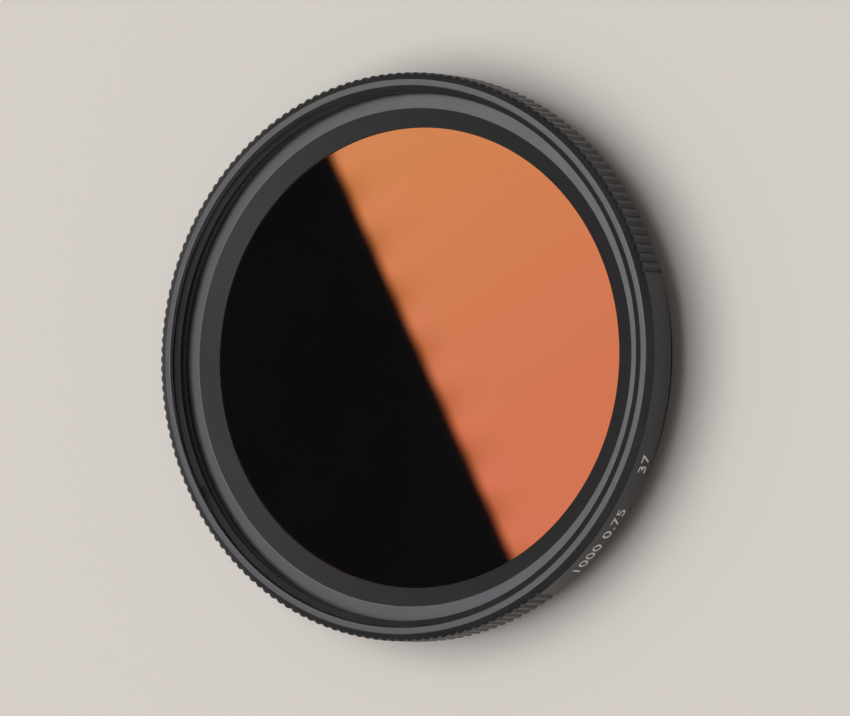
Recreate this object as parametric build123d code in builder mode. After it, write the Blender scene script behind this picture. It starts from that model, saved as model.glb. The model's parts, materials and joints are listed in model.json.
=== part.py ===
from build123d import *
import os

# A round screw-in neutral density filter for a camera lens, lying on its screw end with the
# glass facing up. Sizes are in millimetres. The optical axis is Z, and z = 0 is the rear end
# of the screw. The threads are plain cylinders here: a free female thread is drawn at its
# bore, and a male thread, or a pair that is screwed together, at its outer radius.

# Screw thread, the same nominal size at the rear (male) and at the front (female)
thread_size = 37.0
thread_pitch = 0.75
bore_factor = 0.5413  # a female thread's bore is this many pitches inside the nominal radius
rear_thread_play = 0.05  # how far the male thread stays inside its nominal radius
rear_thread_length = 2.2
rear_thread_lead = 0.3  # chamfer that starts the screw
relief_width = 0.55  # run-out groove between the screw and the shoulder
relief_depth = 0.5
relief_undercut = 0.1  # how far that groove cuts into the shoulder, both ways

# Mount ring, the turned frame
body_wall = 1.0  # how far the gripped band stands outside the nominal thread radius
shoulder_edge = 0.2  # chamfer at the rear edge of the gripped band
rim_bevel_width = 0.5  # outer bevel of the front rim, across
rim_bevel_height = 0.3  # the same bevel, along the axis
mouth_bevel_width = 0.5  # inner bevel that leads into the front thread, across
mouth_bevel_height = 0.3
front_thread_depth = 1.45  # from the front rim down to the retaining ring
glass_inset = 0.7  # how much smaller the glass is than the front bore, in radius
seat_width = 1.1  # lip that the glass rests on, across
seat_thickness = 0.6
rear_recess = 0.5  # depth of the flared mouth behind the lip
rear_flare = 0.5  # how much wider that mouth is at the rear, in radius

# Fine straight knurl round the gripped band, with one smooth land for the print
knurl_count = 180  # teeth in a full turn
knurl_groove_width = 0.42
knurl_groove_depth = 0.16
print_land_angle = 72.0
print_land_centre = -16.5  # degrees from +X

# Filter glass
glass_thickness = 1.8
glass_edge_bevel = 0.15
glass_play = 0.08

# Retaining ring, screwed down on the glass from the front
ring_height = 0.75
ring_play = 0.05  # in radius
ring_headroom = 0.05  # from the ring's front face up to the free part of the front thread
ring_clamp_gap = 0.1  # the ring presses on the glass and stays this far off the frame
ring_land_width = 1.35  # flat front face of the ring
ring_bevel_width = 1.3  # slope from that face down to the glass
ring_lip = 0.08  # upright edge that is left at the foot of the slope
ring_edge_break = 0.06

# Radii that follow from the sizes above
nominal_radius = thread_size / 2
front_bore_radius = nominal_radius - bore_factor * thread_pitch
rear_thread_radius = nominal_radius - rear_thread_play
relief_radius = rear_thread_radius - relief_depth
shoulder_radius = rear_thread_radius + relief_undercut
body_radius = nominal_radius + body_wall
glass_radius = front_bore_radius - glass_inset
pocket_radius = glass_radius + glass_play
seat_radius = glass_radius - seat_width
rear_mouth_radius = seat_radius + rear_flare
ring_radius = nominal_radius - ring_play
ring_land_radius = ring_radius - ring_land_width
aperture_radius = ring_land_radius - ring_bevel_width

# Heights, stacked from the rear end
shoulder_z = rear_thread_length
glass_rear_z = rear_recess + seat_thickness
glass_front_z = glass_rear_z + glass_thickness
step_z = glass_front_z - ring_clamp_gap
ring_front_z = glass_front_z + ring_height
free_thread_z = ring_front_z + ring_headroom
rim_z = ring_front_z + front_thread_depth

os.makedirs("parts", exist_ok=True)

# Mount ring: one turned piece with the screw, the gripped band, the front thread's bore, the
# wider thread that the retaining ring sits in, the pocket for the glass and the lip behind it
with BuildPart() as mount_ring:
    with BuildSketch(Plane.XZ):
        with BuildLine():
            Polyline(
                (rear_mouth_radius, 0),
                (rear_thread_radius - rear_thread_lead, 0),
                (rear_thread_radius, rear_thread_lead),
                (rear_thread_radius, shoulder_z - relief_width),
                (relief_radius, shoulder_z - relief_width / 2),
                (relief_radius, shoulder_z + relief_undercut),
                (shoulder_radius, shoulder_z + relief_undercut),
                (shoulder_radius, shoulder_z),
                (body_radius - shoulder_edge, shoulder_z),
                (body_radius, shoulder_z + shoulder_edge),
                (body_radius, rim_z - rim_bevel_height),
                (body_radius - rim_bevel_width, rim_z),
                (front_bore_radius + mouth_bevel_width, rim_z),
                (front_bore_radius, rim_z - mouth_bevel_height),
                (front_bore_radius, free_thread_z),
                (nominal_radius, free_thread_z),
                (nominal_radius, step_z),
                (pocket_radius, step_z),
                (pocket_radius, glass_rear_z),
                (seat_radius, glass_rear_z),
                (seat_radius, rear_recess),
                close=True,
            )
        make_face()
    revolve(axis=Axis.Z)

    # The knurl: upright V grooves, left out where the print land is
    knurl_step = 360 / knurl_count
    groove_count = round((360 - print_land_angle) / knurl_step)
    knurl_angle = (groove_count - 1) * knurl_step
    first_groove = print_land_centre + (360 - knurl_angle) / 2
    with BuildSketch(Plane.XY.offset(shoulder_z)):
        with PolarLocations(
            body_radius,
            groove_count,
            start_angle=first_groove,
            angular_range=knurl_angle,
            endpoint=True,
        ):
            Polygon(
                (-knurl_groove_depth, 0),
                (knurl_groove_depth, -knurl_groove_width),
                (knurl_groove_depth, knurl_groove_width),
                align=None,
            )
    extrude(amount=rim_z - shoulder_z, mode=Mode.SUBTRACT)

# Filter glass: a dark plane-parallel disc with ground edges, resting on the lip
with BuildPart() as filter_glass:
    with BuildSketch(Plane.XY.offset(glass_rear_z)):
        Circle(glass_radius)
    extrude(amount=glass_thickness)
    chamfer(filter_glass.edges().filter_by(GeomType.CIRCLE), glass_edge_bevel)

# Retaining ring: flat front face outside, a long slope down to the glass inside
with BuildPart() as retaining_ring:
    with BuildSketch(Plane.XZ):
        with BuildLine():
            Polyline(
                (aperture_radius, glass_front_z),
                (ring_radius, glass_front_z),
                (ring_radius, ring_front_z - ring_edge_break),
                (ring_radius - ring_edge_break, ring_front_z),
                (ring_land_radius, ring_front_z),
                (aperture_radius, glass_front_z + ring_lip),
                close=True,
            )
        make_face()
    revolve(axis=Axis.Z)

pieces = {
    "mount_ring": mount_ring.part,
    "filter_glass": filter_glass.part,
    "retaining_ring": retaining_ring.part,
}
for name, piece in pieces.items():
    piece.label = name
    export_step(piece, f"parts/{name}.step")
    print(name, "volume", round(piece.volume, 1), "mm3")
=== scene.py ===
import json
import math

import bpy
from mathutils import Matrix, Vector


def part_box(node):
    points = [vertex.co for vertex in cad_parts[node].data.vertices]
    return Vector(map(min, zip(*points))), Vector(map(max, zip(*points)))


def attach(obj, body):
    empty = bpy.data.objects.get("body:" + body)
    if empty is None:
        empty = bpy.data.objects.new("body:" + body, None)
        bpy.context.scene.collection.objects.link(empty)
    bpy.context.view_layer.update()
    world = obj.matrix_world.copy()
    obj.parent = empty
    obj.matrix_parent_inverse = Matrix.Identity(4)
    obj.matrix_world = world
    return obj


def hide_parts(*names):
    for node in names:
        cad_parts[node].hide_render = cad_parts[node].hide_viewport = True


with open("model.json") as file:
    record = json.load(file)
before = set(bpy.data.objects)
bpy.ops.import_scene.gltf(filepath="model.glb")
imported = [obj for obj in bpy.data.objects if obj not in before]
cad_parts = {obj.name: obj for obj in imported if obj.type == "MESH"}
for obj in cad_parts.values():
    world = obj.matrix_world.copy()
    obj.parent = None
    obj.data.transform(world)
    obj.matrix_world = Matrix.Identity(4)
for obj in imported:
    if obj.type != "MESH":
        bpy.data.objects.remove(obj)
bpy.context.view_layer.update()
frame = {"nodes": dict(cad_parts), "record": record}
print("frame loaded:", sorted(frame["nodes"]))

mm = 0.001
scene = bpy.context.scene

# What the frame gives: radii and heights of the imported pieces, in metres
mounts = {mount["name"]: mount for mount in frame["record"]["mounts"]}
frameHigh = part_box("mount_ring")[1]
glassLow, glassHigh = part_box("filter_glass")
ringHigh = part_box("retaining_ring")[1]
bandRadius = frameHigh.x
rimHeight = frameHigh.z
glassRadius = glassHigh.x
ringRadius = ringHigh.x
boreRadius = mounts["front_thread"]["dims"]["r_mm"] * mm
screwRadius = mounts["rear_thread"]["dims"]["r_mm"] * mm
shoulderHeight = mounts["shoulder"]["pos_m"][2]

threadPitch = 0.75 * mm
nominalRadius = 18.5 * mm
knurlCount = 180
landCentre = math.radians(-16.5)  # middle of the smooth land that carries the print
landAngle = math.radians(72)


# Small helpers for node trees

def addNode(tree, kind, inputs=None, **settings):
    node = tree.nodes.new(kind)
    for name, value in settings.items():
        setattr(node, name, value)
    for key, value in (inputs or {}).items():
        if isinstance(value, bpy.types.NodeSocket):
            tree.links.new(value, node.inputs[key])
        else:
            node.inputs[key].default_value = value
    return node


def calc(tree, operation, *values, clamp=False):
    node = addNode(tree, "ShaderNodeMath", dict(enumerate(values)), operation=operation)
    node.use_clamp = clamp
    return node.outputs[0]


def between(tree, factor, low, high):
    span = calc(tree, "SUBTRACT", high, low)
    return calc(tree, "MULTIPLY_ADD", span, factor, low)


def ramp(tree, value, fromMin, fromMax, toMin=0.0, toMax=1.0, kind="LINEAR"):
    node = addNode(tree, "ShaderNodeMapRange", {
        "Value": value, "From Min": fromMin, "From Max": fromMax, "To Min": toMin, "To Max": toMax,
    }, interpolation_type=kind)
    return node.outputs[0]


def makeTree(name, sockets, output):
    tree = bpy.data.node_groups.new(name, "GeometryNodeTree")
    for label, kind, value in sockets:
        socket = tree.interface.new_socket(label, in_out="INPUT", socket_type=kind)
        if value is not None:
            socket.default_value = value
    tree.interface.new_socket(output, in_out="OUTPUT", socket_type="NodeSocketGeometry")
    return tree, addNode(tree, "NodeGroupInput").outputs


def bake(name, start, tree, values):
    # runs a tree on a start mesh and keeps only the plain mesh that comes out
    helper = bpy.data.objects.new(name + "Start", start)
    scene.collection.objects.link(helper)
    modifier = helper.modifiers.new(tree.name, "NODES")
    modifier.node_group = tree
    for item in tree.interface.items_tree:
        if item.in_out == "INPUT" and item.name in values:
            modifier[item.identifier] = values[item.name]
    mesh = bpy.data.meshes.new_from_object(helper.evaluated_get(bpy.context.evaluated_depsgraph_get()))
    mesh.name = name
    helper.modifiers.remove(modifier)
    bpy.data.objects.remove(helper)
    if signedVolume(mesh) < 0:
        mesh.flip_normals()
    piece = bpy.data.objects.new(name, mesh)
    scene.collection.objects.link(piece)
    print(name, "has", len(mesh.vertices), "vertices and", len(mesh.loop_triangles), "triangles")
    return piece


def signedVolume(mesh):
    mesh.calc_loop_triangles()
    total = 0.0
    for triangle in mesh.loop_triangles:
        a, b, c = (mesh.vertices[i].co for i in triangle.vertices)
        total += a.dot(b.cross(c)) / 6
    return total


# Outlines of the turned pieces. A corner is (radius, height, softness, cut, rows): softness
# rounds the corner, cut says what tool goes over it, and rows fills the straight run that
# leads to it, with a spacing in metres or with "helix" for rows that climb with the thread.

threadFlats = (-0.4375, -0.125, 0.125, 0.4375)  # edges of crest and root, in turns from the root
supportReach = 1.5  # how far out a soft corner's support points stand, in lengths of its softness
weldDistance = 0.0001 * mm  # less than a thread's rows climb from one step to the next
sharpAngle = 0.6  # radians; a steeper edge than this is shaded sharp


def roundedCorner(before, here, after, softness):
    # the corner's arc, with a support point on each side that keeps the flats looking flat
    start = here + (before - here).normalized() * softness
    end = here + (after - here).normalized() * softness
    arc = [start.lerp(here, t).lerp(here.lerp(end, t), t) for t in (0, 1 / 3, 2 / 3, 1)]
    return [here.lerp(start, supportReach)] + arc + [here.lerp(end, supportReach)]


def turnedOutline(corners):
    points = []  # (radius, height, cut, lowest height, highest height)
    for i, (radius, height, softness, cut, rows) in enumerate(corners):
        here = Vector((radius, height))
        turn = [here]
        if softness:
            before = Vector(corners[i - 1][:2])
            after = Vector(corners[(i + 1) % len(corners)][:2])
            turn = roundedCorner(before, here, after, softness)
        if rows == "helix":
            previous = points[-1][1]
            low, high = min(previous, height), max(previous, height)
            first, last = math.floor(low / threadPitch) - 2, math.ceil(high / threadPitch) + 2
            climbing = [threadPitch * (n + flat) for n in range(first, last) for flat in threadFlats]
            climbing = [z for z in climbing if low - threadPitch < z < high]
            for z in sorted(climbing, reverse=height < previous):
                points.append((radius, z, cut, low, high))
        elif rows:
            previous = Vector(points[-1][:2])
            parts = max(1, round((turn[0] - previous).length / rows))
            for part in range(1, parts):
                x, z = previous.lerp(turn[0], part / parts)
                points.append((x, z, cut, z, z))
        points += [(x, z, cut, z, z) for x, z in turn]
    return points


def outlineMesh(name, points):
    mesh = bpy.data.meshes.new(name + "Outline")
    mesh.from_pydata([(x, 0, z) for x, z, cut, low, high in points], [], [])
    values = {"low": [point[3] for point in points], "high": [point[4] for point in points]}
    for cut in ("knurl", "screw", "bore"):
        values[cut] = [float(point[2] == cut) for point in points]
    for label, numbers in values.items():
        mesh.attributes.new(label, "FLOAT", "POINT").data.foreach_set("value", numbers)
    return mesh


# The lathe: a grid of angle by outline row, bent round the axis, with the knurl and the two
# threads cut into it

def latheTree():
    tree, given = makeTree("lathe", (
        ("Outline", "NodeSocketGeometry", None),
        ("Steps", "NodeSocketInt", 360),
        ("Closed Outline", "NodeSocketBool", True),
        ("Start Angle", "NodeSocketFloat", 0.0),
        ("Knurl Count", "NodeSocketInt", 180),
        ("Knurl Radius", "NodeSocketFloat", 0.02),
        ("Knurl Depth", "NodeSocketFloat", 0.0),
        ("Knurl Half Width", "NodeSocketFloat", 0.3333),
        ("Land Centre", "NodeSocketFloat", 0.0),
        ("Land Angle", "NodeSocketFloat", 0.0),
        ("Thread Pitch", "NodeSocketFloat", 0.001),
        ("Screw Radius", "NodeSocketFloat", 0.02),
        ("Screw Depth", "NodeSocketFloat", 0.0),
        ("Bore Radius", "NodeSocketFloat", 0.0),
        ("Bore Depth", "NodeSocketFloat", 0.0),
        ("Sharp Angle", "NodeSocketFloat", sharpAngle),
        ("Material", "NodeSocketMaterial", None),
    ), "Turned")
    outline = given["Outline"]

    # the grid: its vertices run along the outline first, then on to the next angle
    size = addNode(tree, "GeometryNodeAttributeDomainSize", {"Geometry": outline})
    outlineCount = size.outputs["Point Count"]
    rows = calc(tree, "ADD", outlineCount, given["Closed Outline"])
    columns = calc(tree, "ADD", given["Steps"], 1)
    grid = addNode(tree, "GeometryNodeMeshGrid", {"Vertices X": columns, "Vertices Y": rows})
    index = addNode(tree, "GeometryNodeInputIndex").outputs[0]
    column = calc(tree, "FLOOR", calc(tree, "DIVIDE", index, rows))
    row = calc(tree, "SUBTRACT", index, calc(tree, "MULTIPLY", column, rows))
    outlineIndex = calc(tree, "MODULO", row, outlineCount)

    def sampled(kind, value):
        inputs = {"Geometry": outline, "Value": value, "Index": outlineIndex}
        return addNode(tree, "GeometryNodeSampleIndex", inputs, data_type=kind).outputs[0]

    def stored(label):
        named = addNode(tree, "GeometryNodeInputNamedAttribute", {"Name": label}, data_type="FLOAT")
        return sampled("FLOAT", named.outputs["Attribute"])

    place = sampled("FLOAT_VECTOR", addNode(tree, "GeometryNodeInputPosition").outputs[0])
    xyz = addNode(tree, "ShaderNodeSeparateXYZ", {0: place}).outputs
    radius = xyz[0]
    turn = calc(tree, "DIVIDE", column, given["Steps"])
    angle = calc(tree, "MULTIPLY_ADD", turn, math.tau, given["Start Angle"])
    climbed = calc(tree, "MULTIPLY_ADD", turn, given["Thread Pitch"], xyz[2])
    height = calc(tree, "MINIMUM", calc(tree, "MAXIMUM", climbed, stored("low")), stored("high"))

    # knurl: V grooves, none on the print land
    tooth = calc(tree, "MULTIPLY", turn, given["Knurl Count"])
    fromGroove = calc(tree, "ABSOLUTE", calc(tree, "SUBTRACT", tooth, calc(tree, "ROUND", tooth)))
    shallow = calc(tree, "DIVIDE", fromGroove, given["Knurl Half Width"])
    share = calc(tree, "SUBTRACT", 1.0, shallow, clamp=True)
    fromLand = calc(tree, "WRAP", calc(tree, "SUBTRACT", angle, given["Land Centre"]), math.pi, -math.pi)
    landEdge = calc(tree, "MULTIPLY", given["Land Angle"], 0.5)
    offLand = calc(tree, "GREATER_THAN", calc(tree, "ABSOLUTE", fromLand), landEdge)
    groove = calc(tree, "MULTIPLY", calc(tree, "MULTIPLY", share, offLand), given["Knurl Depth"])
    knurled = calc(tree, "MINIMUM", radius, calc(tree, "SUBTRACT", given["Knurl Radius"], groove))
    radius = between(tree, stored("knurl"), radius, knurled)

    # threads: right-handed, with flat crests and roots
    threadTurn = calc(tree, "SUBTRACT", calc(tree, "DIVIDE", height, given["Thread Pitch"]), turn)
    offRoot = calc(tree, "ABSOLUTE", calc(tree, "SUBTRACT", threadTurn, calc(tree, "ROUND", threadTurn)))
    cut = ramp(tree, offRoot, threadFlats[2], threadFlats[3], 1.0, 0.0)
    cutDepth = calc(tree, "MULTIPLY", cut, given["Screw Depth"])
    screwCut = calc(tree, "SUBTRACT", given["Screw Radius"], cutDepth)
    radius = between(tree, stored("screw"), radius, calc(tree, "MINIMUM", radius, screwCut))
    boreCut = calc(tree, "MULTIPLY_ADD", cut, given["Bore Depth"], given["Bore Radius"])
    radius = between(tree, stored("bore"), radius, calc(tree, "MAXIMUM", radius, boreCut))

    position = addNode(tree, "ShaderNodeCombineXYZ", {
        0: calc(tree, "MULTIPLY", radius, calc(tree, "COSINE", angle)),
        1: calc(tree, "MULTIPLY", radius, calc(tree, "SINE", angle)),
        2: height,
    }).outputs[0]
    bent = addNode(tree, "GeometryNodeSetPosition", {"Geometry": grid.outputs["Mesh"], "Position": position})
    closed = addNode(tree, "GeometryNodeMergeByDistance", {
        "Geometry": bent.outputs[0], "Distance": weldDistance,
    })
    smooth = addNode(tree, "GeometryNodeSetShadeSmooth", {"Geometry": closed.outputs[0]})
    edgeAngle = addNode(tree, "GeometryNodeInputMeshEdgeAngle").outputs["Unsigned Angle"]
    creased = addNode(tree, "GeometryNodeSetShadeSmooth", {
        "Geometry": smooth.outputs[0],
        "Selection": calc(tree, "GREATER_THAN", edgeAngle, given["Sharp Angle"]),
        "Shade Smooth": False,
    }, domain="EDGE")
    realized = addNode(tree, "GeometryNodeRealizeInstances", {"Geometry": creased.outputs[0]})
    finished = addNode(tree, "GeometryNodeSetMaterial", {
        "Geometry": realized.outputs[0], "Material": given["Material"],
    })
    addNode(tree, "NodeGroupOutput", {"Turned": finished.outputs[0]})
    return tree


lathe = latheTree()


def turnPiece(name, corners, node, values):
    piece = bake(name, outlineMesh(name, turnedOutline(corners)), lathe, values)
    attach(piece, "root")
    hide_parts(node)


# Finishes. Every pattern reads Object coordinates, in metres.

def newMaterial(name):
    material = bpy.data.materials.new(name)
    material.use_nodes = True
    tree = material.node_tree
    return material, tree, tree.nodes["Principled BSDF"]


def turnedPlace(tree):
    # Object coordinates, the radius, and a vector of radius and height for marks left by the lathe
    place = addNode(tree, "ShaderNodeTexCoord").outputs["Object"]
    xyz = addNode(tree, "ShaderNodeSeparateXYZ", {0: place}).outputs
    squares = calc(tree, "MULTIPLY_ADD", xyz[0], xyz[0], calc(tree, "MULTIPLY", xyz[1], xyz[1]))
    radius = calc(tree, "SQRT", squares)
    across = addNode(tree, "ShaderNodeCombineXYZ", {0: radius, 1: xyz[2]}).outputs[0]
    return place, radius, across


def noise(tree, vector, scale, detail=2.0):
    inputs = {"Vector": vector, "Scale": scale, "Detail": detail}
    return addNode(tree, "ShaderNodeTexNoise", inputs).outputs[0]


def spread(tree, pattern, low, high):
    return ramp(tree, pattern, 0.3, 0.7, low, high)  # noise rarely leaves 0.3 to 0.7


def setColour(tree, shader, colour, tone):
    scaled = addNode(tree, "ShaderNodeVectorMath", {0: colour, "Scale": tone}, operation="SCALE")
    tree.links.new(scaled.outputs[0], shader.inputs["Base Color"])


def anodised(name, finish):
    material, tree, shader = newMaterial(name)
    place, radius, across = turnedPlace(tree)
    marks = noise(tree, across, finish["markScale"])
    grain = noise(tree, place, finish["grainScale"], 3.0)
    cloud = noise(tree, place, finish["cloudScale"], 3.0)

    markBump = addNode(tree, "ShaderNodeBump", {"Height": marks, "Distance": finish["markHeight"]})
    grainBump = addNode(tree, "ShaderNodeBump", {
        "Height": grain, "Distance": finish["grainHeight"], "Normal": markBump.outputs[0],
    })
    tree.links.new(grainBump.outputs[0], shader.inputs["Normal"])

    roughness = spread(tree, cloud, *finish["roughness"])
    tone = calc(tree, "MULTIPLY", spread(tree, cloud, *finish["cloudTone"]),
                spread(tree, marks, *finish["markTone"]))
    if "matteInside" in finish:
        matte = ramp(tree, radius, finish["matteInside"], finish["matteInside"] - finish["matteFade"])
        roughness = between(tree, matte, roughness, finish["matteRoughness"])
        tone = between(tree, matte, tone, finish["matteTone"])
    tree.links.new(roughness, shader.inputs["Roughness"])
    setColour(tree, shader, finish["colour"], tone)
    return material


anodising = {  # what both black metals share
    "markScale": 9000,
    "markHeight": 0.8e-6,
    "markTone": (0.9, 1.1),
    "grainScale": 11000,
    "grainHeight": 0.5e-6,
    "cloudTone": (0.88, 1.12),
}
frameFinish = {
    **anodising,
    "colour": (0.0066, 0.0064, 0.0069),
    "roughness": (0.33, 0.40),
    "cloudScale": 240,
}
ringFinish = {
    **anodising,
    "colour": (0.0082, 0.0080, 0.0086),
    "roughness": (0.30, 0.37),
    "cloudScale": 300,
    "matteInside": 17.08 * mm,  # the slope towards the glass is matt, against stray light
    "matteFade": 0.03 * mm,
    "matteRoughness": 0.42,
    "matteTone": 0.36,
}
glassFinish = {
    "colour": (0.0046, 0.0044, 0.0048),
    "roughness": (0.006, 0.010),
    "cloudScale": 160,
    "cloudTone": (0.92, 1.08),
    "groundOutside": glassRadius - 0.15 * mm,  # the edge is ground, and paler than the faces
    "groundFade": 0.02 * mm,
    "groundRoughness": 0.6,
    "groundTone": 6.0,
    "index": 2.0,
    "sheen": (1.0, 0.3, 0.11, 1),  # the copper tint of what the coating mirrors
}
inkFinish = {
    "colour": (0.84, 0.84, 0.82),
    "speckleScale": 9000,
    "speckleTone": (0.8, 1.0),
    "roughness": 0.55,
}


def coatedGlass(name, finish):
    material, tree, shader = newMaterial(name)
    place, radius = turnedPlace(tree)[:2]
    cloud = noise(tree, place, finish["cloudScale"], 3.0)
    ground = ramp(tree, radius, finish["groundOutside"] - finish["groundFade"], finish["groundOutside"])
    polish = spread(tree, cloud, *finish["roughness"])
    roughness = between(tree, ground, polish, finish["groundRoughness"])
    tone = between(tree, ground, spread(tree, cloud, *finish["cloudTone"]), finish["groundTone"])
    tree.links.new(roughness, shader.inputs["Roughness"])
    setColour(tree, shader, finish["colour"], tone)
    shader.inputs["IOR"].default_value = finish["index"]
    shader.inputs["Specular Tint"].default_value = finish["sheen"]
    return material


def printInk(name, finish):
    material, tree, shader = newMaterial(name)
    place = addNode(tree, "ShaderNodeTexCoord").outputs["Object"]
    speckle = noise(tree, place, finish["speckleScale"])
    setColour(tree, shader, finish["colour"], spread(tree, speckle, *finish["speckleTone"]))
    shader.inputs["Roughness"].default_value = finish["roughness"]
    return material


frameMetal = anodised("blackAnodisedFrame", frameFinish)
ringMetal = anodised("blackAnodisedRing", ringFinish)
glassCoating = coatedGlass("coatedDarkGlass", glassFinish)
whiteInk = printInk("whitePrint", inkFinish)
print("finishes made")


# Mount ring, outside first: screw, shoulder, knurled band, rim, front thread, pocket, lip

mountRing = {
    "screwLead": 0.3 * mm,
    "reliefWidth": 0.55 * mm,
    "reliefDepth": 0.5 * mm,
    "reliefUndercut": 0.1 * mm,
    "shoulderEdge": 0.2 * mm,
    "shoulderRows": 3,
    "rimBevelWidth": 0.5 * mm,
    "rimBevelHeight": 0.3 * mm,
    "rimRows": 4,
    "mouthBevelWidth": 0.5 * mm,
    "mouthBevelHeight": 0.3 * mm,
    "glassPlay": 0.08 * mm,
    "seatWidth": 1.1 * mm,
    "rearRecess": 0.5 * mm,
    "rearFlare": 0.5 * mm,
    "clampGap": 0.1 * mm,
    "softEdge": 0.04 * mm,
    "cutSpacing": 0.045 * mm,  # between rows where a thread runs out through a bevel
    "screwDepth": 0.6134 * threadPitch,
    "knurlDepth": 0.16 * mm,
    "knurlHalfWidth": 0.3333,  # of one groove, in teeth
    "stepsPerTooth": 3,
}


def mountRingCorners(s):
    soft = s["softEdge"]
    fine = s["cutSpacing"]
    reliefRadius = screwRadius - s["reliefDepth"]
    innerShoulder = screwRadius + s["reliefUndercut"]
    grooveHeight = shoulderHeight + s["reliefUndercut"]
    stepHeight = glassHigh.z - s["clampGap"]
    seatRadius = glassRadius - s["seatWidth"]
    pocketRadius = glassRadius + s["glassPlay"]
    shoulderSpacing = s["shoulderEdge"] / s["shoulderRows"]
    rimSpacing = s["rimBevelHeight"] / s["rimRows"]
    return [
        (seatRadius + s["rearFlare"], 0, soft, "plain", 0),
        (screwRadius - s["screwLead"], 0, 0, "screw", 0),
        (screwRadius, s["screwLead"], 0, "screw", fine),
        (screwRadius, shoulderHeight - s["reliefWidth"], 0, "screw", "helix"),
        (reliefRadius, shoulderHeight - s["reliefWidth"] / 2, 0, "screw", fine),
        (reliefRadius, grooveHeight, soft, "plain", 0),
        (innerShoulder, grooveHeight, 0, "plain", 0),
        (innerShoulder, shoulderHeight, 0, "plain", 0),
        (bandRadius - s["shoulderEdge"], shoulderHeight, soft, "knurl", 0),
        (bandRadius, shoulderHeight + s["shoulderEdge"], soft, "knurl", shoulderSpacing),
        (bandRadius, rimHeight - s["rimBevelHeight"], soft, "knurl", 0),
        (bandRadius - s["rimBevelWidth"], rimHeight, soft, "knurl", rimSpacing),
        (boreRadius + s["mouthBevelWidth"], rimHeight, soft, "plain", 0),
        (boreRadius, rimHeight - s["mouthBevelHeight"], 0, "bore", fine),
        (boreRadius, ringHigh.z, 0, "bore", "helix"),
        (nominalRadius, ringHigh.z, 0, "plain", 0),
        (nominalRadius, stepHeight, 0, "plain", 0),
        (pocketRadius, stepHeight, 0, "plain", 0),
        (pocketRadius, glassLow.z, 0, "plain", 0),
        (seatRadius, glassLow.z, soft, "plain", 0),
        (seatRadius, s["rearRecess"], soft, "plain", 0),
    ]


turnPiece("mountRing", mountRingCorners(mountRing), "mount_ring", {
    "Steps": knurlCount * mountRing["stepsPerTooth"],
    "Start Angle": landCentre + landAngle / 2 + math.pi / knurlCount,
    "Knurl Count": knurlCount,
    "Knurl Radius": bandRadius,
    "Knurl Depth": mountRing["knurlDepth"],
    "Knurl Half Width": mountRing["knurlHalfWidth"],
    "Land Centre": landCentre,
    "Land Angle": landAngle,
    "Thread Pitch": threadPitch,
    "Screw Radius": screwRadius,
    "Screw Depth": mountRing["screwDepth"],
    "Bore Radius": boreRadius,
    "Bore Depth": nominalRadius - boreRadius,
    "Material": frameMetal,
})


# Retaining ring: flat face outside, slope down to the glass inside

retainingRing = {
    "landWidth": 1.35 * mm,
    "slopeWidth": 1.3 * mm,
    "lip": 0.08 * mm,
    "edgeBreak": 0.06 * mm,
    "softEdge": 0.025 * mm,
    "steps": 540,
}


def retainingRingCorners(s):
    soft = s["softEdge"]
    landRadius = ringRadius - s["landWidth"]
    aperture = landRadius - s["slopeWidth"]
    return [
        (aperture, glassHigh.z, 0, "plain", 0),
        (ringRadius, glassHigh.z, 0, "plain", 0),
        (ringRadius, ringHigh.z - s["edgeBreak"], 0, "plain", 0),
        (ringRadius - s["edgeBreak"], ringHigh.z, 0, "plain", 0),
        (landRadius, ringHigh.z, soft, "plain", 0),
        (aperture, glassHigh.z + s["lip"], soft, "plain", 0),
    ]


turnPiece("retainingRing", retainingRingCorners(retainingRing), "retaining_ring", {
    "Steps": retainingRing["steps"],
    "Material": ringMetal,
})


# Filter glass: a plane disc with ground edges

filterGlass = {"edgeBevel": 0.15 * mm, "rings": 6, "steps": 360}


def filterGlassCorners(s):
    bevel = s["edgeBevel"]
    spacing = glassRadius / s["rings"]
    return [
        (0, glassLow.z, 0, "plain", 0),
        (glassRadius - bevel, glassLow.z, 0, "plain", spacing),
        (glassRadius, glassLow.z + bevel, 0, "plain", 0),
        (glassRadius, glassHigh.z - bevel, 0, "plain", 0),
        (glassRadius - bevel, glassHigh.z, 0, "plain", 0),
        (0, glassHigh.z, 0, "plain", spacing),
    ]


turnPiece("filterGlass", filterGlassCorners(filterGlass), "filter_glass", {
    "Steps": filterGlass["steps"],
    "Closed Outline": False,
    "Material": glassCoating,
})


# Print: plain numbers for filter factor, thread pitch and thread size, round the smooth land

printBand = {
    "digits": "1000 0.75      37",
    "size": 1.4 * mm,
    "middle": math.radians(-31.5),
    "height": 3.35 * mm,
    "stand": 0.012 * mm,  # how far the ink stands off the metal
    "spacing": 1.06,
    "weldDistance": 0.001 * mm,
}


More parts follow.
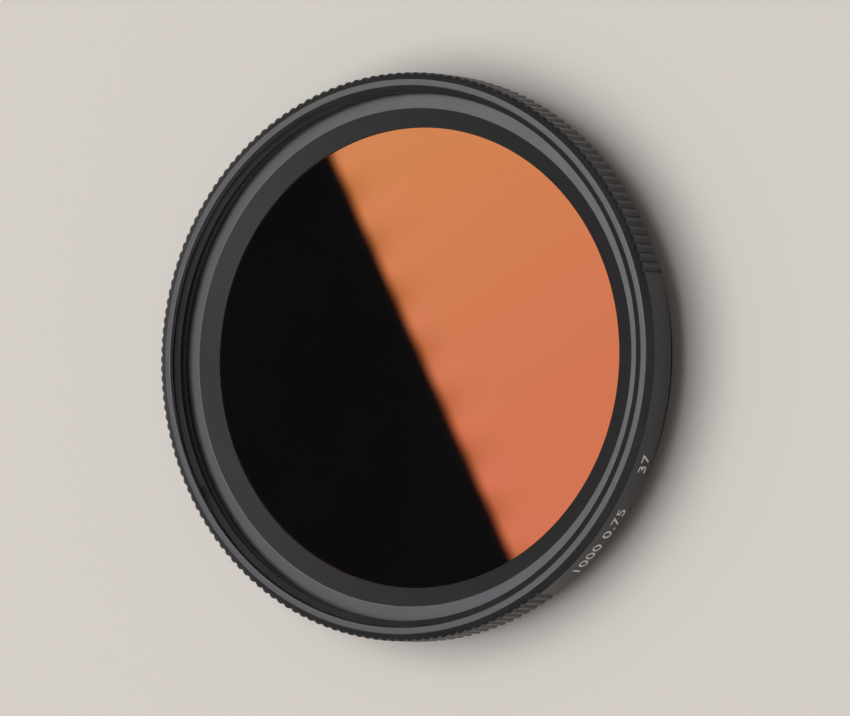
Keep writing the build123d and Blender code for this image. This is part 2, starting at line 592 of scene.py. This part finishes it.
def printTree():
    tree, given = makeTree("print", (
        ("Start", "NodeSocketGeometry", None),  # the modifier's empty mesh, which nothing reads
        ("Digits", "NodeSocketString", "0"),
        ("Size", "NodeSocketFloat", 0.002),
        ("Spacing", "NodeSocketFloat", 1.0),
        ("Radius", "NodeSocketFloat", 0.02),
        ("Middle", "NodeSocketFloat", 0.0),
        ("Height", "NodeSocketFloat", 0.0),
        ("Stand", "NodeSocketFloat", 0.00001),
        ("Material", "NodeSocketMaterial", None),
    ), "Print")
    text = addNode(tree, "GeometryNodeStringToCurves", {
        "String": given["Digits"], "Size": given["Size"], "Character Spacing": given["Spacing"],
    }, align_x="CENTER", align_y="MIDDLE")
    curves = addNode(tree, "GeometryNodeRealizeInstances", {"Geometry": text.outputs[0]})
    sheet = addNode(tree, "GeometryNodeFillCurve", {"Curve": curves.outputs[0]})
    thick = calc(tree, "MULTIPLY", given["Stand"], 2.0)
    raised = addNode(tree, "GeometryNodeExtrudeMesh", {
        "Mesh": sheet.outputs[0], "Offset Scale": thick, "Individual": False,
    })
    under = addNode(tree, "GeometryNodeFlipFaces", {"Mesh": sheet.outputs[0]})
    joined = addNode(tree, "GeometryNodeJoinGeometry", {0: raised.outputs[0]})
    tree.links.new(under.outputs[0], joined.inputs[0])
    solid = addNode(tree, "GeometryNodeMergeByDistance", {
        "Geometry": joined.outputs[0], "Distance": printBand["weldDistance"],
    })

    place = addNode(tree, "GeometryNodeInputPosition").outputs[0]
    xyz = addNode(tree, "ShaderNodeSeparateXYZ", {0: place}).outputs
    angle = calc(tree, "ADD", calc(tree, "DIVIDE", xyz[0], given["Radius"]), given["Middle"])
    inner = calc(tree, "SUBTRACT", given["Radius"], given["Stand"])
    radius = calc(tree, "ADD", xyz[2], inner)
    position = addNode(tree, "ShaderNodeCombineXYZ", {
        0: calc(tree, "MULTIPLY", radius, calc(tree, "COSINE", angle)),
        1: calc(tree, "MULTIPLY", radius, calc(tree, "SINE", angle)),
        2: calc(tree, "ADD", xyz[1], given["Height"]),
    }).outputs[0]
    wrapped = addNode(tree, "GeometryNodeSetPosition", {"Geometry": solid.outputs[0], "Position": position})
    realized = addNode(tree, "GeometryNodeRealizeInstances", {"Geometry": wrapped.outputs[0]})
    finished = addNode(tree, "GeometryNodeSetMaterial", {
        "Geometry": realized.outputs[0], "Material": given["Material"],
    })
    addNode(tree, "NodeGroupOutput", {"Print": finished.outputs[0]})
    return tree


sizePrint = bake("sizePrint", bpy.data.meshes.new("sizePrintStart"), printTree(), {
    "Digits": printBand["digits"],
    "Size": printBand["size"],
    "Spacing": printBand["spacing"],
    "Radius": bandRadius,
    "Middle": printBand["middle"],
    "Height": printBand["height"],
    "Stand": printBand["stand"],
    "Material": whiteInk,
})
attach(sizePrint, "root")


# Camera: the photograph's direction, from the side of +X, closer than the photograph

view = {
    "azimuth": math.radians(-0.8),
    "elevation": math.radians(60.0),
    "lean": math.radians(3.6),  # how far +Y leans clockwise from the picture's upright
    "distance": 0.65,
    "photoWidth": 850,
    "focalPixels": 2870,
    "closer": 3.3,
    "sensorWidth": 36.0,
    "clipStart": 0.01,
    "aim": (0.4 * mm, 0.0, 2.6 * mm),
}


def addCamera():
    data = bpy.data.cameras.new("camera")
    data.sensor_width = view["sensorWidth"]
    data.lens = data.sensor_width * view["focalPixels"] * view["closer"] / view["photoWidth"]
    data.clip_start = view["clipStart"]
    camera = bpy.data.objects.new("camera", data)
    scene.collection.objects.link(camera)
    level = math.cos(view["elevation"])
    back = Vector((level * math.cos(view["azimuth"]), level * math.sin(view["azimuth"]),
                   math.sin(view["elevation"])))
    right = Vector((0, 1, 0)).cross(back).normalized()
    turned = Matrix.Rotation(view["lean"], 3, back)
    right, upright = turned @ right, turned @ back.cross(right)
    place = Vector(view["aim"]) + back * view["distance"]
    camera.matrix_world = Matrix((
        (right.x, upright.x, back.x, place.x),
        (right.y, upright.y, back.y, place.y),
        (right.z, upright.z, back.z, place.z),
        (0, 0, 0, 1),
    ))
    scene.camera = camera
    return place


cameraPlace = addCamera()


# Studio: pale floor, one large lamp, and a surround that is bright on one side, high up

studio = {
    "floorColour": (0.672, 0.627, 0.593, 1),
    "floorRoughness": 0.9,
    "floorSpecular": 0.1,
    "floorSize": 3.0,
    "lampPlace": (-0.3, -0.06, 1.22),
    "lampSize": 1.3,
    "lampPower": 13.5,
    "surround": (1.0, 0.99, 0.98, 1),
    "brightSide": (-0.4955, 0.0, 0.8686),
    "brightReach": 0.7,  # cosine of the angle at which the bright side has faded out
    "dimLevel": 0.2,
    "brightLevel": 0.88,
    "cameraLevel": 0.6,  # what the camera sees past the floor
}


def flatSheet(name, corners, faces, material):
    mesh = bpy.data.meshes.new(name)
    mesh.from_pydata(corners, [], faces)
    mesh.materials.append(material)
    sheet = bpy.data.objects.new(name, mesh)
    scene.collection.objects.link(sheet)
    return sheet


def addFloor():
    material, tree, shader = newMaterial("paleFloor")
    shader.inputs["Base Color"].default_value = studio["floorColour"]
    shader.inputs["Roughness"].default_value = studio["floorRoughness"]
    shader.inputs["Specular IOR Level"].default_value = studio["floorSpecular"]
    half = studio["floorSize"] / 2
    corners = [(-half, -half, 0), (half, -half, 0), (half, half, 0), (-half, half, 0)]
    flatSheet("floor", corners, [(0, 1, 2, 3)], material)


def addLamp():
    data = bpy.data.lights.new("lamp", "AREA")
    data.shape = "SQUARE"
    data.size = studio["lampSize"]
    data.energy = studio["lampPower"]
    lamp = bpy.data.objects.new("lamp", data)
    scene.collection.objects.link(lamp)
    lamp.location = studio["lampPlace"]
    lamp.rotation_euler = (-lamp.location).to_track_quat("-Z", "Y").to_euler()


def addSurround():
    world = bpy.data.worlds.new("surround")
    scene.world = world
    world.use_nodes = True
    tree = world.node_tree
    background = tree.nodes["Background"]
    facing = addNode(tree, "ShaderNodeVectorMath", {
        0: addNode(tree, "ShaderNodeTexCoord").outputs["Generated"],
        1: Vector(studio["brightSide"]).normalized(),
    }, operation="DOT_PRODUCT").outputs["Value"]
    level = ramp(tree, facing, studio["brightReach"], 1.0, studio["dimLevel"], studio["brightLevel"])
    seen = addNode(tree, "ShaderNodeLightPath").outputs["Is Camera Ray"]
    background.inputs["Color"].default_value = studio["surround"]
    tree.links.new(between(tree, seen, level, studio["cameraLevel"]), background.inputs["Strength"])


addFloor()
addLamp()
addSurround()

# The light panel hangs level above the object, and only mirrors show it. Its UV map says, in
# millimetres, where on the glass the camera sees each point of it, so that its shaded edge can
# be placed on the glass.

panel = {
    "height": 0.8,  # metres above the floor
    "seenX": (-160, 170),
    "seenY": (-170, 170),
    "edgeStart": (-8.09, 12.95),
    "edgeEnd": (8.07, -13.73),
    "edgeWidth": 1.12,
    "level": 5.7,
    "upperColour": (1.0, 1.12, 1.0),
    "lowerColour": (1.0, 0.87, 1.04),
    "colourRun": (-14.0, 8.0),  # where those two stand along the edge, from its middle
    "shadePeriod": 4.15,
    "shadePhase": 0.62,
    "shadeReach": 0.95,
    "shadeColour": (0.42, 0.42, 0.28),
    "blushReach": 2.2,
    "blushColour": (1.05, 1.08, 1.3),
    "warmReach": 0.6,
    "warmColour": (1.0, 0.6, 0.1),
}


def panelMaterial(p):
    material = bpy.data.materials.new("lightPanel")
    material.use_nodes = True
    tree = material.node_tree
    tree.nodes.clear()
    xyz = addNode(tree, "ShaderNodeSeparateXYZ", {0: addNode(tree, "ShaderNodeUVMap").outputs[0]}).outputs
    start, end = Vector(p["edgeStart"]), Vector(p["edgeEnd"])
    along = (end - start).normalized()
    inward = Vector((-along.y, along.x))  # to the right of the edge in the picture
    middle = (start + end) / 2

    def measured(axis):
        first = calc(tree, "MULTIPLY_ADD", xyz[0], axis.x, -middle.dot(axis))
        return calc(tree, "MULTIPLY_ADD", xyz[1], axis.y, first)

    def mixed(factor, low, high):
        node = addNode(tree, "ShaderNodeMix", {0: factor}, data_type="VECTOR")
        for socket, value in ((node.inputs[4], low), (node.inputs[5], high)):
            if isinstance(value, bpy.types.NodeSocket):
                tree.links.new(value, socket)
            else:
                socket.default_value = value
        return node.outputs[1]

    def tinted(colour, factor, tint):
        shade = mixed(factor, (1, 1, 1), tint)
        return addNode(tree, "ShaderNodeVectorMath", {0: colour, 1: shade}, operation="MULTIPLY").outputs[0]

    run = measured(along)
    depth = measured(inward)
    turn = calc(tree, "MULTIPLY", calc(tree, "ADD", run, p["shadePhase"]), math.tau / p["shadePeriod"])
    wave = calc(tree, "MULTIPLY_ADD", calc(tree, "COSINE", turn), 0.5, 0.5)
    shallow = calc(tree, "MAXIMUM", depth, 0.0)

    def fading(reach):
        return calc(tree, "EXPONENT", calc(tree, "DIVIDE", shallow, -reach))

    colour = mixed(ramp(tree, run, *p["colourRun"]), p["upperColour"], p["lowerColour"])
    colour = tinted(colour, calc(tree, "MULTIPLY", wave, fading(p["shadeReach"])), p["shadeColour"])
    plain = calc(tree, "SUBTRACT", 1.0, wave)
    colour = tinted(colour, calc(tree, "MULTIPLY", plain, fading(p["blushReach"])), p["blushColour"])
    colour = tinted(colour, fading(p["warmReach"]), p["warmColour"])
    lit = ramp(tree, depth, 0.0, p["edgeWidth"], 0.0, p["level"], "SMOOTHSTEP")
    glow = addNode(tree, "ShaderNodeEmission", {"Color": colour, "Strength": lit})
    addNode(tree, "ShaderNodeOutputMaterial", {"Surface": glow.outputs[0]})
    return material


def addPanel(p):
    mirrored = Vector((cameraPlace.x, cameraPlace.y, 2 * glassHigh.z - cameraPlace.z))
    reach = (p["height"] - mirrored.z) / (glassHigh.z - mirrored.z)
    (lowX, highX), (lowY, highY) = p["seenX"], p["seenY"]
    seen = [(lowX, lowY), (highX, lowY), (highX, highY), (lowX, highY)]
    corners = []
    for x, y in seen:
        onGlass = Vector((x * mm, y * mm, glassHigh.z))
        corners.append(mirrored + (onGlass - mirrored) * reach)
    sheet = flatSheet("lightPanel", corners, [(0, 1, 2, 3)], panelMaterial(p))
    uv = sheet.data.uv_layers.new(name="seenOnGlass")
    for loop in sheet.data.loops:
        uv.data[loop.index].uv = seen[loop.vertex_index]
    sheet.visible_camera = False
    sheet.visible_diffuse = False
    sheet.visible_shadow = False
    sheet.visible_transmission = False


addPanel(panel)
print("studio set")

scene.view_settings.view_transform = "Standard"
